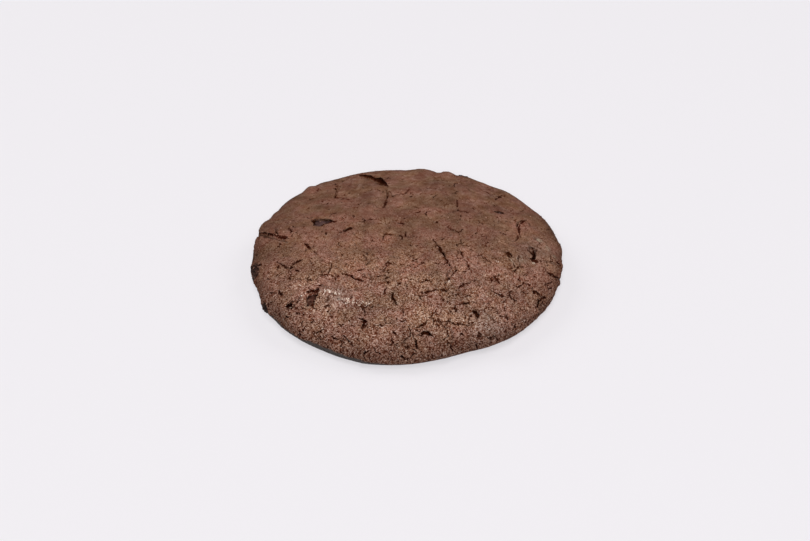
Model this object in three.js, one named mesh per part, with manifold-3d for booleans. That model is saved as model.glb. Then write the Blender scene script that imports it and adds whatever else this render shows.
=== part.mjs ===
// A round chocolate hazelnut cookie, baked flat on its base: a domed, cracked crumb body with a
// rolled rim, and chopped chocolate pieces that show at its rim and on its top.
// Millimetres, +Z up, +X to the right and +Y to the back. The origin is on the surface that the
// cookie lies on, under the middle of its outline.

import * as THREE from "three";
import { ConvexGeometry } from "three/addons/geometries/ConvexGeometry.js";
import { ImprovedNoise } from "three/addons/math/ImprovedNoise.js";
import { mergeVertices } from "three/addons/utils/BufferGeometryUtils.js";
import Module from "manifold-3d";

const wasm = await Module();
wasm.setup();
const { clamp, degToRad, euclideanModulo, lerp, radToDeg, smoothstep } = THREE.MathUtils;

// Driving dimensions of the whole cookie, in millimetres
const WIDTH = 86; // across, along X
const DEPTH = 85.5; // front to back, along Y
const THICKNESS = 12.9; // from the surface below to the top of the smooth dome
const WAIST_HEIGHT = 3.6; // the widest line of the rolled rim
const FOOT_SHARE = 0.925; // radius of the flat underside, as a share of the outline's
const DOME_FLATNESS = 3.4; // higher keeps the top flatter towards the rim
const SHOULDER_FULLNESS = 2.1; // higher makes the shoulder fuller
const SOCKET_GROWTH = 0.48; // a socket's corners past its chocolate's, for a gap of about 0.3

// How the skin is divided into triangles
const SKIN_DETAIL = 17; // cuts along each edge of the starting icosahedron
const PROFILE_STEPS = 300; // samples of the top's profile, and of the underside's
const UNDERSIDE_WEIGHT = 0.2; // triangles on the flat underside, against those on the top
const RIM_WEIGHT = 1.3; // triangles on the rolled rim, against those on the top
const SHOULDER_SHARE = 0.86; // where the rim starts, as a share of the outline's radius

// The outline's bulges and flats: the direction, the reach each way, both in degrees, and the rise
const OUTLINE_WAVES = [
  { angle: 13, reach: 17, rise: 1.2 }, // full right side
  { angle: 99, reach: 22, rise: -0.8 }, // flat at the back
  { angle: 139, reach: 20, rise: 1.4 }, // back left shoulder
  { angle: 167, reach: 12, rise: -0.8 }, // notch under the left ledge
  { angle: 195, reach: 14, rise: -0.4 }, // slack in front of the left chocolate
  { angle: 240, reach: 38, rise: 0.45 }, // front left bulge
  { angle: 289, reach: 27, rise: -1.9 }, // long flat at the front right
];

// Where the crumb bulges over something underneath, or sinks: the middle, the reach and the rise
const SWELLS = [
  { at: [36.5, -3, 10], reach: 10, rise: 1.3 }, // over a hidden piece at the right
  { at: [-18.4, -27.3, 12], reach: 8, rise: 1.1 }, // over a hidden piece at the front left
  { at: [22, -33.5, 8], reach: 7, rise: 1.0 }, // over a hidden piece at the front right
  { at: [-23, -10.5, 12.5], reach: 7, rise: 0.6 }, // low disc inside the left rim
  { at: [5, -42, 5], reach: 7, rise: 0.7 }, // rounded lobe at the front
  { at: [-6, 34, 10.5], reach: 9, rise: 0.5 }, // flap behind the long slit
  { at: [-39, 9, 7], reach: 8, rise: 0.9 }, // ledge over the left crease
  { at: [-38.5, -3, 8], reach: 6, rise: -0.5 }, // hollow under the left ledge
  { at: [24, 21, 12], reach: 12, rise: -0.5 }, // shallow dip at the back right
  { at: [-30, 24, 9], reach: 10, rise: 0.4 }, // back left shoulder
];

// Relief that covers the whole skin: wave length, rise of the highest crests, and the share of
// that rise which is left at the smoother back
const RELIEF = [
  { length: 21, rise: 0.7, backShare: 1 },
  { length: 8.5, rise: 0.75, backShare: 0.6 },
  { length: 4.2, rise: 0.7, backShare: 0.4 },
];

// The larger cracks, slits, pits and holes: route over the top, width at the skin, depth, and how
// far the lower edge lies behind the route, which leaves the back lip overhanging
const CREVICES = [
  // the long slit at the back, which opens to the right, and the cracks that run on from it
  { route: [[-13.9, 34], [-11.2, 31.5], [-8.4, 28.6], [-5.6, 24.4]], width: 1.6, depth: 3.6, lean: 1.6 },
  { route: [[-11.4, 31.2], [-8.2, 28], [-5.2, 23.6]], width: 3.2, depth: 4.8, lean: 3 },
  { route: [[-5.5, 23.6], [-5, 19], [-5.4, 16]], width: 0.7, depth: 1.8, lean: 0.4 },
  { route: [[-5.2, 21.4], [-3.5, 18.2], [-0.6, 19.8]], width: 0.6, depth: 1.5, lean: 0.4 },
  // the crease under the ledge at the left
  { route: [[-45, 9], [-39.4, 4.6], [-35.9, 1.3], [-31.6, -2.3]], width: 1.3, depth: 3.4, lean: 1.8 },
  // the notch in the back rim
  { route: [[10.4, 44], [10.8, 38], [11, 34]], width: 2.6, depth: 1.4, lean: 0 },
  // round the hidden piece at the right: its crease, a hole and the crease in front of it
  { route: [[33.1, 9.9], [31.3, 7.5], [30.8, 4.3]], width: 0.9, depth: 2.2, lean: 0.5 },
  { route: [[30.8, 4.3], [31.1, 0.2], [29.3, -2.3]], width: 0.9, depth: 2.2, lean: 0.5 },
  { route: [[33.9, -4], [34.4, -5.8], [35.2, -8.4]], width: 2, depth: 3.2, lean: 1 },
  { route: [[36.8, -8.2], [39.8, -7.7], [44, -5.8]], width: 0.8, depth: 2, lean: 0.8 },
  { route: [[26.8, -7], [28.8, -10.2]], width: 1.2, depth: 1.9, lean: 0.6 },
  // pits that show the pieces of chocolate on the top
  { route: [[-26, 6], [-22.5, 7.1], [-18.6, 7.9]], width: 2.2, depth: 1.7, lean: 0 },
  { route: [[-26.2, 5.4], [-24.2, 6.6], [-21.8, 7.6]], width: 4, depth: 1.8, lean: 0.4 },
  { route: [[-26, -28], [-24.6, -24.8], [-22.4, -21.8]], width: 3.2, depth: 3.2, lean: 0.6 },
  { route: [[24.6, 12.7], [26.4, 12], [28.2, 11.2]], width: 2, depth: 1.4, lean: 0 },
  // cracks on the back half
  { route: [[-18.7, 29.5], [-19.3, 24.5], [-20, 19.7]], width: 0.8, depth: 2, lean: 0.5 },
  { route: [[-20, 19.7], [-17.2, 19.3], [-15.4, 17.4]], width: 0.6, depth: 1.6, lean: 0.5 },
  { route: [[-17.7, 1.6], [-15.8, 2.2], [-13.8, 2.7]], width: 0.85, depth: 1.8, lean: 0.7 },
  { route: [[-32.8, 5.8], [-30.9, 2.2]], width: 0.65, depth: 1.5, lean: 0.4 },
  { route: [[-27.5, -0.6], [-26.8, -3.9], [-25, -6.7]], width: 0.8, depth: 1.8, lean: 0.4 },
  // the long bent crack right of the middle, and one beside it
  { route: [[6.4, -0.3], [8.2, -4.7], [10.1, -8.5], [11.3, -12.3]], width: 0.6, depth: 1.8, lean: 0.3 },
  { route: [[11.2, -11.5], [12.3, -15.4], [10.9, -18.3], [11.4, -20.9]], width: 0.65, depth: 1.8, lean: 0.3 },
  { route: [[13.4, -5.7], [15.4, -9.3]], width: 0.65, depth: 1.5, lean: 0.3 },
  // holes and cracks at the front left
  { route: [[-31.2, -26.4], [-28.6, -25.2]], width: 1.8, depth: 2.6, lean: 1 },
  { route: [[-28.8, -26.4], [-27, -23.8]], width: 0.7, depth: 1.6, lean: 0.4 },
  { route: [[-30.8, -11.7], [-27.6, -9.9]], width: 0.7, depth: 1.5, lean: 0.5 },
  { route: [[-33.2, -10.6], [-30.7, -12.3], [-28.7, -14.4]], width: 0.7, depth: 1.6, lean: 0.5 },
  { route: [[-16.4, -17], [-14, -18.6], [-11.2, -21.2]], width: 0.7, depth: 1.8, lean: 0.5 },
  { route: [[-12, -33.5], [-10.1, -34.2], [-11.2, -36.4]], width: 1.2, depth: 2.2, lean: 0.6 },
  // cracks at the front
  { route: [[-3.7, -25.5], [-3, -28.1], [-1.8, -29.9]], width: 0.7, depth: 1.7, lean: 0.3 },
  { route: [[3.6, -23.8], [5.6, -25.2], [8.4, -24]], width: 0.65, depth: 1.6, lean: 0.5 },
  { route: [[8.8, -24], [10.8, -25.4]], width: 0.7, depth: 1.6, lean: 0.5 },
  { route: [[-1.8, -34.3], [0.7, -35.4], [4.4, -35.1]], width: 0.7, depth: 1.7, lean: 0.5 },
  { route: [[3.2, -38.4], [5.5, -37.2], [7.6, -37.9]], width: 1.2, depth: 2.4, lean: 0.8 },
  // a hole and cracks at the front right
  { route: [[17.6, -29.6], [18.3, -31], [19.3, -32.8]], width: 1.8, depth: 2.8, lean: 0.8 },
  { route: [[13.6, -29], [16.7, -28.2], [19, -27.2]], width: 0.7, depth: 1.6, lean: 0.5 },
  { route: [[20.4, -19.4], [22.1, -22.2], [23.6, -24]], width: 0.8, depth: 1.7, lean: 0.4 },
  { route: [[32.6, -20.5], [34.6, -19.8], [35.7, -21], [35, -23.5]], width: 0.75, depth: 1.8, lean: 0.5 },
];

// The blade that cuts a crevice: how far it reaches above the smooth dome, and what share of its
// width and depth is left at its two ends
const BLADE = { clearance: 2.5, endWidth: 0.12, endDepth: 0.35 };

// Small cracks that fill the space between the larger ones
const CRACKS = {
  seed: 7,
  count: 96, // places tried, spread evenly
  reach: 0.93, // of the outline's radius
  length: 4.6,
  width: 0.6,
  depth: 1.4,
  lean: 0.5, // most that the lower edge lies off the route, to the front or the back
  variation: 0.4, // of these sizes, up and down
  legs: 3, // straight stretches in each crack
  bend: 75, // most that it turns at a corner, in degrees
  clearance: 3.4, // from the larger crevices and the chocolate
  backLoss: 0.55, // share that the smoother back half goes without
};

// The pieces of chopped chocolate: middle, size along the rim or X, across it, and upright, the
// turn about the upright and the lean, in degrees, and the seed of their broken faces
const CHOCOLATE = [
  {
    name: "chocolate_left_rim",
    at: [-40.2, -7, 4.9], size: [6.4, 5.4, 5.6], turn: 100, lean: 8, seed: 3,
  },
  {
    name: "chocolate_front_left_rim",
    at: [-36.6, -20.8, 3.3], size: [4.6, 3.8, 3.4], turn: 120, lean: -6, seed: 5,
  },
  {
    name: "chocolate_back_left",
    at: [-22.4, 6.9, 10.2], size: [8.6, 5.6, 3.8], turn: -6, lean: 4, seed: 11,
  },
  {
    name: "chocolate_front_left",
    at: [-24.2, -24.8, 7.9], size: [5, 6.4, 3.8], turn: 24, lean: 0, seed: 4,
  },
  {
    name: "chocolate_right",
    at: [26.4, 12, 10], size: [5, 3.6, 3], turn: -20, lean: 0, seed: 9,
  },
  {
    name: "chocolate_back_rim",
    at: [16.8, 36.9, 5.4], size: [6, 4.8, 5], turn: -24, lean: -5, seed: 6,
  },
  {
    name: "chocolate_back_right_rim",
    at: [37.4, 18, 4.8], size: [5, 4.4, 4.2], turn: 64, lean: 4, seed: 8,
  },
];
const CHUNK_CORNERS = 14; // on each piece of chocolate
const CHUNK_SQUARENESS = 0.7; // 1 gives a rounded piece, and less a boxier one
const CHUNK_ROUGHNESS = 0.3; // how far its corners stand out or in, as a share of its size

const GOLDEN_ANGLE = Math.PI * (3 - Math.sqrt(5)); // spreads points evenly
const noise = new ImprovedNoise();

// A repeatable source of numbers from 0 to 1
function seededRandom(seed) {
  let state = seed * 9301 + 49297;
  return () => {
    state = (state * 9301 + 49297) % 233280;
    return state / 233280;
  };
}

// Smooth bell from 1 in the middle to 0 at its reach
function bell(distance, reach) {
  const share = Math.min(1, Math.abs(distance) / reach);
  return (1 - share * share) ** 2;
}

// Radius of the outline in a direction in radians, as a share of the plain ellipse's
function outlineShare(angle) {
  const rise = OUTLINE_WAVES.reduce((sum, wave) => {
    const turn = euclideanModulo(radToDeg(angle) - wave.angle + 180, 360) - 180;
    return sum + wave.rise * bell(turn, wave.reach);
  }, 0);
  return 1 + rise / (WIDTH / 2);
}

// Height of the smooth dome at a share of the outline's radius
function domeHeight(share) {
  const fullness = (1 - Math.min(1, share) ** DOME_FLATNESS) ** (1 / SHOULDER_FULLNESS);
  return WAIST_HEIGHT + (THICKNESS - WAIST_HEIGHT) * fullness;
}

// Height of the underside, which rolls up from the flat foot to the waist
function undersideHeight(share) {
  const roll = Math.max(0, (share - FOOT_SHARE) / (1 - FOOT_SHARE));
  return WAIST_HEIGHT * (1 - Math.sqrt(Math.max(0, 1 - roll * roll)));
}

// Height of the smooth dome over a place on the base
function domeHeightAt(x, y) {
  const reach = Math.hypot(x / (WIDTH / 2), y / (DEPTH / 2));
  return domeHeight(reach / outlineShare(Math.atan2(y, x)));
}

// The profile from the top's middle over the waist to the underside's middle. Each sample says
// what share of the triangles lies before it.
function sampleProfile() {
  const quarter = Math.PI / 2;
  const samples = [];
  for (let i = 0; i <= PROFILE_STEPS; i++) {
    const share = Math.sin((i / PROFILE_STEPS) * quarter);
    const weight = share < SHOULDER_SHARE ? 1 : RIM_WEIGHT;
    samples.push({ share, height: domeHeight(share), weight });
  }
  for (let i = 1; i <= PROFILE_STEPS; i++) {
    const share = Math.cos((i / PROFILE_STEPS) * quarter);
    const weight = share > FOOT_SHARE ? RIM_WEIGHT : UNDERSIDE_WEIGHT;
    samples.push({ share, height: undersideHeight(share), weight });
  }
  let before = 0;
  samples.forEach((sample, i) => {
    const last = samples[Math.max(0, i - 1)];
    const step = Math.hypot((sample.share - last.share) * (WIDTH / 2), sample.height - last.height);
    before += sample.weight * (sample.share + last.share) * step;
    sample.before = before;
  });
  samples.forEach((sample) => (sample.before /= before));
  return samples;
}

const PROFILE = sampleProfile();

// The smooth skin's point for a direction of the starting sphere
function skinPoint(direction) {
  const before = (1 - direction.z) / 2;
  const next = Math.max(1, PROFILE.findIndex((sample) => sample.before >= before));
  const [a, b] = [PROFILE[next - 1], PROFILE[next]];
  const t = clamp((before - a.before) / (b.before - a.before || 1), 0, 1);
  const angle = Math.atan2(direction.y, direction.x);
  const radius = lerp(a.share, b.share, t) * outlineShare(angle);
  const x = (WIDTH / 2) * radius * Math.cos(angle);
  const y = (DEPTH / 2) * radius * Math.sin(angle);
  return new THREE.Vector3(x, y, lerp(a.height, b.height, t));
}

// How far the skin stands out of the smooth form at a point
function reliefAt(point) {
  const swell = SWELLS.reduce(
    (sum, { at, reach, rise }) => sum + rise * bell(point.distanceTo(new THREE.Vector3(...at)), reach),
    0,
  );
  const back = smoothstep(point.y, -DEPTH / 4, DEPTH / 3); // from the craggy front to the back
  const crags = RELIEF.reduce((sum, { length, rise, backShare }) => {
    const wave = noise.noise(point.x / length, point.y / length, point.z / length + length);
    return sum + lerp(rise, rise * backShare, back) * wave;
  }, 0);
  return swell + crags;
}

// The closed skin of the crumb body, before it is cracked. The foot stays flat.
function skinGeometry() {
  const sphere = new THREE.IcosahedronGeometry(1, SKIN_DETAIL);
  sphere.deleteAttribute("uv").deleteAttribute("normal");
  const skin = mergeVertices(sphere);
  const position = skin.attributes.position;
  const point = new THREE.Vector3();
  for (let i = 0; i < position.count; i++) {
    point.fromBufferAttribute(position, i).normalize().copy(skinPoint(point));
    position.setXYZ(i, ...point);
  }
  skin.computeVertexNormals();
  const normal = new THREE.Vector3();
  for (let i = 0; i < position.count; i++) {
    point.fromBufferAttribute(position, i);
    normal.fromBufferAttribute(skin.attributes.normal, i);
    const share = smoothstep(point.z, 0, WAIST_HEIGHT);
    point.addScaledVector(normal, share * reliefAt(point));
    position.setXYZ(i, point.x, point.y, Math.max(0, point.z));
  }
  return skin;
}

// A three.js geometry as a solid
function toSolid(geometry) {
  const bare = geometry.clone().deleteAttribute("normal").deleteAttribute("uv");
  const merged = mergeVertices(bare, 1e-4);
  const vertProperties = new Float32Array(merged.attributes.position.array);
  const triVerts = new Uint32Array(merged.index.array);
  return new wasm.Manifold(new wasm.Mesh({ numProp: 3, vertProperties, triVerts }));
}

// A solid as a three.js geometry
function toGeometry(solid) {
  const { vertProperties, triVerts } = solid.getMesh();
  const geometry = new THREE.BufferGeometry();
  geometry.setAttribute("position", new THREE.BufferAttribute(vertProperties, 3));
  geometry.setIndex(new THREE.BufferAttribute(triVerts, 1));
  geometry.computeVertexNormals();
  return geometry;
}

// Solids that cut one crevice: a blade with a sharp lower edge that thins out to both ends
function bladeSolids({ route, width, depth, lean }) {
  const stations = route.map(([x, y], i) => {
    const before = new THREE.Vector2(...route[Math.max(0, i - 1)]);
    const after = new THREE.Vector2(...route[Math.min(route.length - 1, i + 1)]);
    const side = after.sub(before).normalize().rotateAround(new THREE.Vector2(), Math.PI / 2);
    const isEnd = i === 0 || i === route.length - 1;
    const half = ((isEnd ? BLADE.endWidth : 1) * width * (1 + BLADE.clearance / depth)) / 2;
    const edge = (isEnd ? BLADE.endDepth : 1) * depth;
    const height = domeHeightAt(x, y);
    return [
      new THREE.Vector3(x + side.x * half, y + side.y * half, height + BLADE.clearance),
      new THREE.Vector3(x - side.x * half, y - side.y * half, height + BLADE.clearance),
      new THREE.Vector3(x, y + (lean * edge) / depth, height - edge),
    ];
  });
  return stations.slice(1).map((station, i) => {
    return toSolid(new ConvexGeometry([...stations[i], ...station]));
  });
}

// A two-point route gets a middle, so that its blade is full there
function withMiddle(crevice) {
  if (crevice.route.length > 2) return crevice;
  const [a, b] = crevice.route;
  const middle = [(a[0] + b[0]) / 2, (a[1] + b[1]) / 2];
  return { ...crevice, route: [a, middle, b] };
}

// Small bent cracks, spread evenly over the top, clear of the larger ones
function smallCracks() {
  const random = seededRandom(CRACKS.seed);
  const around = (spread) => (2 * random() - 1) * spread;
  const taken = [...CREVICES.flatMap(({ route }) => route), ...CHOCOLATE.map(({ at }) => at)];
  const cracks = [];
  for (let i = 0; i < CRACKS.count; i++) {
    const reach = CRACKS.reach * Math.sqrt((i + 0.5) / CRACKS.count);
    let x = (WIDTH / 2) * reach * Math.cos(i * GOLDEN_ANGLE);
    let y = (DEPTH / 2) * reach * Math.sin(i * GOLDEN_ANGLE);
    const free = taken.every(([tx, ty]) => Math.hypot(tx - x, ty - y) > CRACKS.clearance);
    const lost = y > 0 && random() < CRACKS.backLoss;
    const size = 1 + around(CRACKS.variation);
    let heading = around(Math.PI);
    const route = [[x, y]];
    for (let leg = 0; leg < CRACKS.legs; leg++) {
      const step = (CRACKS.length / CRACKS.legs) * size * (1 + around(CRACKS.variation));
      x += step * Math.cos(heading);
      y += step * Math.sin(heading);
      heading += around(degToRad(CRACKS.bend));
      route.push([x, y]);
    }
    const crack = { route, width: CRACKS.width * size, depth: CRACKS.depth * size };
    if (free && !lost) cracks.push({ ...crack, lean: around(CRACKS.lean) });
  }
  return cracks;
}

// A broken piece of chocolate as a solid with flat faces, in its own frame
function chocolateGeometry({ size, seed }, grow = 0) {
  const random = seededRandom(seed);
  const half = new THREE.Vector3(...size).divideScalar(2).addScalar(grow);
  const squared = (value) => Math.sign(value) * Math.abs(value) ** CHUNK_SQUARENESS;
  const corners = [];
  for (let i = 0; i < CHUNK_CORNERS; i++) {
    const height = 1 - (2 * i + 1) / CHUNK_CORNERS;
    const level = Math.sqrt(1 - height * height);
    const angle = i * GOLDEN_ANGLE + random();
    const corner = new THREE.Vector3(level * Math.cos(angle), level * Math.sin(angle), height);
    corner.set(squared(corner.x), squared(corner.y), squared(corner.z));
    corners.push(corner.multiplyScalar(1 - CHUNK_ROUGHNESS * random()).multiply(half));
  }
  return new ConvexGeometry(corners);
}

// The mesh of one piece of chocolate, in its place
function chocolateMesh(piece, material) {
  const mesh = new THREE.Mesh(chocolateGeometry(piece), material);
  mesh.name = piece.name;
  mesh.position.set(...piece.at);
  mesh.rotation.set(degToRad(piece.lean), 0, degToRad(piece.turn));
  mesh.updateMatrix();
  return mesh;
}

// The crumb body with its cracks, and with a socket round each piece of chocolate
function doughSolid(pieces) {
  const crevices = [...CREVICES.map(withMiddle), ...smallCracks()];
  const blades = crevices.flatMap(bladeSolids);
  const sockets = CHOCOLATE.map((piece, i) => {
    return toSolid(chocolateGeometry(piece, SOCKET_GROWTH).applyMatrix4(pieces[i].matrix));
  });
  return toSolid(skinGeometry()).subtract(wasm.Manifold.union([...blades, ...sockets]));
}

const crumb = new THREE.MeshStandardMaterial({ color: 0x7a5748, roughness: 0.92, metalness: 0 });
const chocolate = new THREE.MeshStandardMaterial({ color: 0x3a2622, roughness: 0.5, metalness: 0 });

const pieces = CHOCOLATE.map((piece) => chocolateMesh(piece, chocolate));
const dough = new THREE.Mesh(toGeometry(doughSolid(pieces)), crumb);
dough.name = "cookie_dough";

// The outline's middle goes over the origin
const cookie = new THREE.Group();
cookie.add(dough, ...pieces);
const outline = new THREE.Box3().setFromObject(cookie);
cookie.position.set(-(outline.min.x + outline.max.x) / 2, -(outline.min.y + outline.max.y) / 2, 0);

export default cookie;
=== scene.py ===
"""A round chocolate hazelnut cookie on a pale table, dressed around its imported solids.

Everything is in metres, +Z up. The front of the cookie is towards -Y.
"""

import logging
import math
from collections.abc import Callable, Iterable
from dataclasses import dataclass
from enum import Enum
from functools import partial, reduce

import bpy
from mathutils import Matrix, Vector


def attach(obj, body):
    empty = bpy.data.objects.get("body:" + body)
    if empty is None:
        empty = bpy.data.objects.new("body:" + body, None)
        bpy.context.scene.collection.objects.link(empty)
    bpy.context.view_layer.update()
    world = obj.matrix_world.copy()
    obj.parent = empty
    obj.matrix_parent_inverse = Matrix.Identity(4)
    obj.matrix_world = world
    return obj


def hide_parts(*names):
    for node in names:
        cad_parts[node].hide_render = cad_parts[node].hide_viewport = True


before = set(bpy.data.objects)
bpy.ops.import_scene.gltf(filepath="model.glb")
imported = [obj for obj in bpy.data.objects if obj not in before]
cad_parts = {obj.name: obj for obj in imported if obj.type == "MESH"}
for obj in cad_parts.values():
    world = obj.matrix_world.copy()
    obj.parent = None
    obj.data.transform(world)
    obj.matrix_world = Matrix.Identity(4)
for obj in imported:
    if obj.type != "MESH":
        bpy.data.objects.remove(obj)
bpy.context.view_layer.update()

MM = 0.001
SAME_SPOT = 0.002 * MM
ABOVE = 50 * MM
SHADING = 0.55
LEVEL = (1.0, 1.0, 0.0)
DOWN = (0.0, 0.0, -1.0)
ELEVATION = math.radians(36.5)
SLANT = (0.0, math.sin(ELEVATION), math.cos(ELEVATION))
BODY = "root"
Socket = bpy.types.NodeSocket
Place = tuple[float, float, float]
Colour = tuple[float, float, float]
Route = tuple[Place, ...]

log = logging.getLogger("cookie")


class Slot(Enum):
    """The record's material slots."""

    CRUMB = "crumb"
    CHOCOLATE = "chocolate"


# Small tools for nodes and meshes


def enabled(sockets: Iterable[Socket], name: str = "") -> list[Socket]:
    """List the sockets that a node uses now, with one name or with any."""
    return [socket for socket in sockets if socket.enabled and name in ("", socket.name)]


class Graph:
    """Adds and joins the nodes of one node tree, for a material or for a geometry modifier."""

    def __init__(self, tree: bpy.types.NodeTree) -> None:
        """Keep the shader or geometry node tree that the nodes go into."""
        self.tree = tree

    def put(self, socket: Socket, value: object) -> None:
        """Link a socket to another socket, or set it to a constant.

        Args:
            socket: an input.
            value: a socket or a constant.
        """
        if isinstance(value, bpy.types.NodeSocket):
            self.tree.links.new(value, socket)
        else:
            socket.default_value = value

    def add(self, kind: str, inputs: dict[str, object], **settings: object) -> bpy.types.Node:
        """Add a node.

        Args:
            kind: the node's type name.
            inputs: values or sockets for its inputs, by name.
            settings: its own properties.

        Returns:
            The new node.
        """
        node = self.tree.nodes.new(kind)
        for name, value in settings.items():
            setattr(node, name, value)
        for name, value in inputs.items():
            self.put(enabled(node.inputs, name)[0], value)
        return node

    def math(self, operation: str, *values: object) -> Socket:
        """Join numbers by one operation, such as ADD or MULTIPLY.

        Args:
            operation: the node's operation.
            values: numbers, or their sockets.

        Returns:
            The result's socket.
        """
        node = self.tree.nodes.new("ShaderNodeMath")
        node.operation = operation
        for socket, value in zip(node.inputs, values):
            self.put(socket, value)
        return node.outputs[0]

    def minus(self, first: object, second: object) -> Socket:
        """Take the second number from the first."""
        return self.math("SUBTRACT", first, second)

    def total(self, *values: object) -> Socket:
        """Add up several numbers."""
        return reduce(partial(self.math, "ADD"), values)

    def product(self, *values: object) -> Socket:
        """Multiply several numbers."""
        return reduce(partial(self.math, "MULTIPLY"), values)

    def highest(self, *values: object) -> Socket:
        """Take the highest of several numbers."""
        return reduce(partial(self.math, "MAXIMUM"), values)

    def vector(self, operation: str, *values: object) -> Socket:
        """Join vectors by one operation, such as ADD, SCALE or DISTANCE.

        Args:
            operation: the node's operation.
            values: vectors or their sockets, and a number last for SCALE.

        Returns:
            The result's socket: a vector, or a number for DISTANCE, LENGTH and DOT_PRODUCT.
        """
        node = self.tree.nodes.new("ShaderNodeVectorMath")
        node.operation = operation
        vectors = [s for s in node.inputs if s.name == "Vector"]
        if operation == "SCALE":
            self.put(vectors[0], values[0])
            self.put(node.inputs["Scale"], values[1])
        else:
            for socket, value in zip(vectors, values):
                self.put(socket, value)
        number = operation in ("DISTANCE", "LENGTH", "DOT_PRODUCT")
        return node.outputs["Value" if number else "Vector"]

    def ramp(
        self, value: object, start: object, end: object, low: object = 0.0, high: object = 1.0
    ) -> Socket:
        """Turn a number from start to end smoothly into one from low to high, and hold it beyond.

        Args:
            value: the number.
            start: where it begins to change.
            end: where it stops, on either side of the start.
            low: the result up to the start.
            high: the result from the end on.

        Returns:
            The result's socket.
        """
        inputs = {"Value": value, "From Min": start, "From Max": end, "To Min": low, "To Max": high}
        node = self.add("ShaderNodeMapRange", {}, interpolation_type="SMOOTHSTEP")
        for name, number in inputs.items():
            self.put(node.inputs[name], number)
        return node.outputs["Result"]

    def noise(
        self, place: Socket, size: float, detail: float = 2.0, roughness: float = 0.5
    ) -> bpy.types.Node:
        """Add soft noise whose lumps are about that size in millimetres.

        Args:
            place: where it is read.
            size: of its lumps, in millimetres.
            detail: how many finer layers it has.
            roughness: how strong the finer layers are.

        Returns:
            The node, with a number from 0 to 1 in its first output and a colour in its second.
        """
        scale = 1.0 / (size * MM)
        inputs = {"Vector": place, "Scale": scale, "Detail": detail, "Roughness": roughness}
        return self.add("ShaderNodeTexNoise", inputs)

    def waves(self, place: Socket, size: float, height: object, detail: float = 2.0) -> Socket:
        """Make noise that swings about zero, mostly within a quarter of the height."""
        return self.product(self.minus(self.noise(place, size, detail).outputs[0], 0.5), height)

    def cells(self, place: Socket, size: float, feature: str = "F1") -> bpy.types.Node:
        """Add cells of about that size in millimetres, with distances counted in cells."""
        inputs = {"Vector": place, "Scale": 1.0 / (size * MM)}
        return self.add("ShaderNodeTexVoronoi", inputs, feature=feature)

    def parts(self, place: Socket) -> tuple[Socket, Socket, Socket]:
        """Take a vector or a colour apart into its three numbers."""
        return tuple(self.add("ShaderNodeSeparateXYZ", {"Vector": place}).outputs)

    def warp(self, place: Socket, size: float, amount: float) -> Socket:
        """Push a place about by noise.

        Args:
            place: where it starts.
            size: of the lumps of noise, in millimetres.
            amount: about twice the furthest push, in millimetres.

        Returns:
            The new place.
        """
        colour = self.noise(place, size).outputs["Color"]
        centred = self.vector("SUBTRACT", colour, (0.5, 0.5, 0.5))
        return self.vector("ADD", place, self.vector("SCALE", centred, amount * MM))

    def inside_routes(self, place: Socket, routes: tuple[Route, ...]) -> Socket:
        """Measure how far a place lies inside the nearest of some drawn lines, seen aslant from above.

        Args:
            place: where it is read.
            routes: lines of points, as described at DRAWN_CRACKS.

        Returns:
            The depth inside a line in millimetres, which is below zero outside.
        """
        stretch = StretchGroup(self.tree.bl_idname)
        sides = {"X": self.parts(place)[0], "Y": self.vector("DOT_PRODUCT", place, SLANT)}
        flat = self.vector("SCALE", self.add("ShaderNodeCombineXYZ", sides).outputs[0], 1 / MM)
        deepest: object = -1.0
        for route in routes:
            points = [(x / 10, slant / 10, half / 100) for x, slant, half in route]
            for (x, y, half), (next_x, next_y, next_half) in zip(points, points[1:]):
                span = (next_x - x, next_y - y, 0.0)
                share = tuple(Vector(span) / Vector(span).length_squared)
                values = (flat, (x, y, 0.0), span, share, half, next_half - half, deepest)
                inputs = dict(zip(stretch.vectors + stretch.numbers, values))
                deepest = self.add(stretch.node_kind, inputs, node_tree=stretch.tree).outputs[0]
        return deepest


class StretchGroup(Graph):
    """A node group that measures how far a place lies inside one straight, tapered stretch."""

    vectors = ("Place", "Start", "Span", "Share")
    numbers = ("Half", "Growth", "Deepest")

    def __init__(self, tree_kind: str) -> None:
        """Make the group.

        Args:
            tree_kind: the kind of tree that uses it, of shader or of geometry nodes.
        """
        tree = bpy.data.node_groups.new("stretch", tree_kind)
        for kind, names in (("NodeSocketVector", self.vectors), ("NodeSocketFloat", self.numbers)):
            for name in names:
                tree.interface.new_socket(name, in_out="INPUT", socket_type=kind)
        tree.interface.new_socket("Inside", in_out="OUTPUT", socket_type="NodeSocketFloat")
        super().__init__(tree)
        self.node_kind = "ShaderNodeGroup" if tree_kind == "ShaderNodeTree" else "GeometryNodeGroup"
        given = self.add("NodeGroupInput", {}).outputs
        offset = self.vector("SUBTRACT", given["Place"], given["Start"])
        along = self.vector("DOT_PRODUCT", offset, given["Share"])
        share = self.add("ShaderNodeClamp", {"Value": along}).outputs[0]
        away = self.vector("DISTANCE", offset, self.vector("SCALE", given["Span"], share))
        half = self.math("MULTIPLY_ADD", share, given["Growth"], given["Half"])
        inside = self.highest(self.minus(half, away), given["Deepest"])
        self.add("NodeGroupOutput", {"Inside": inside})


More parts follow.
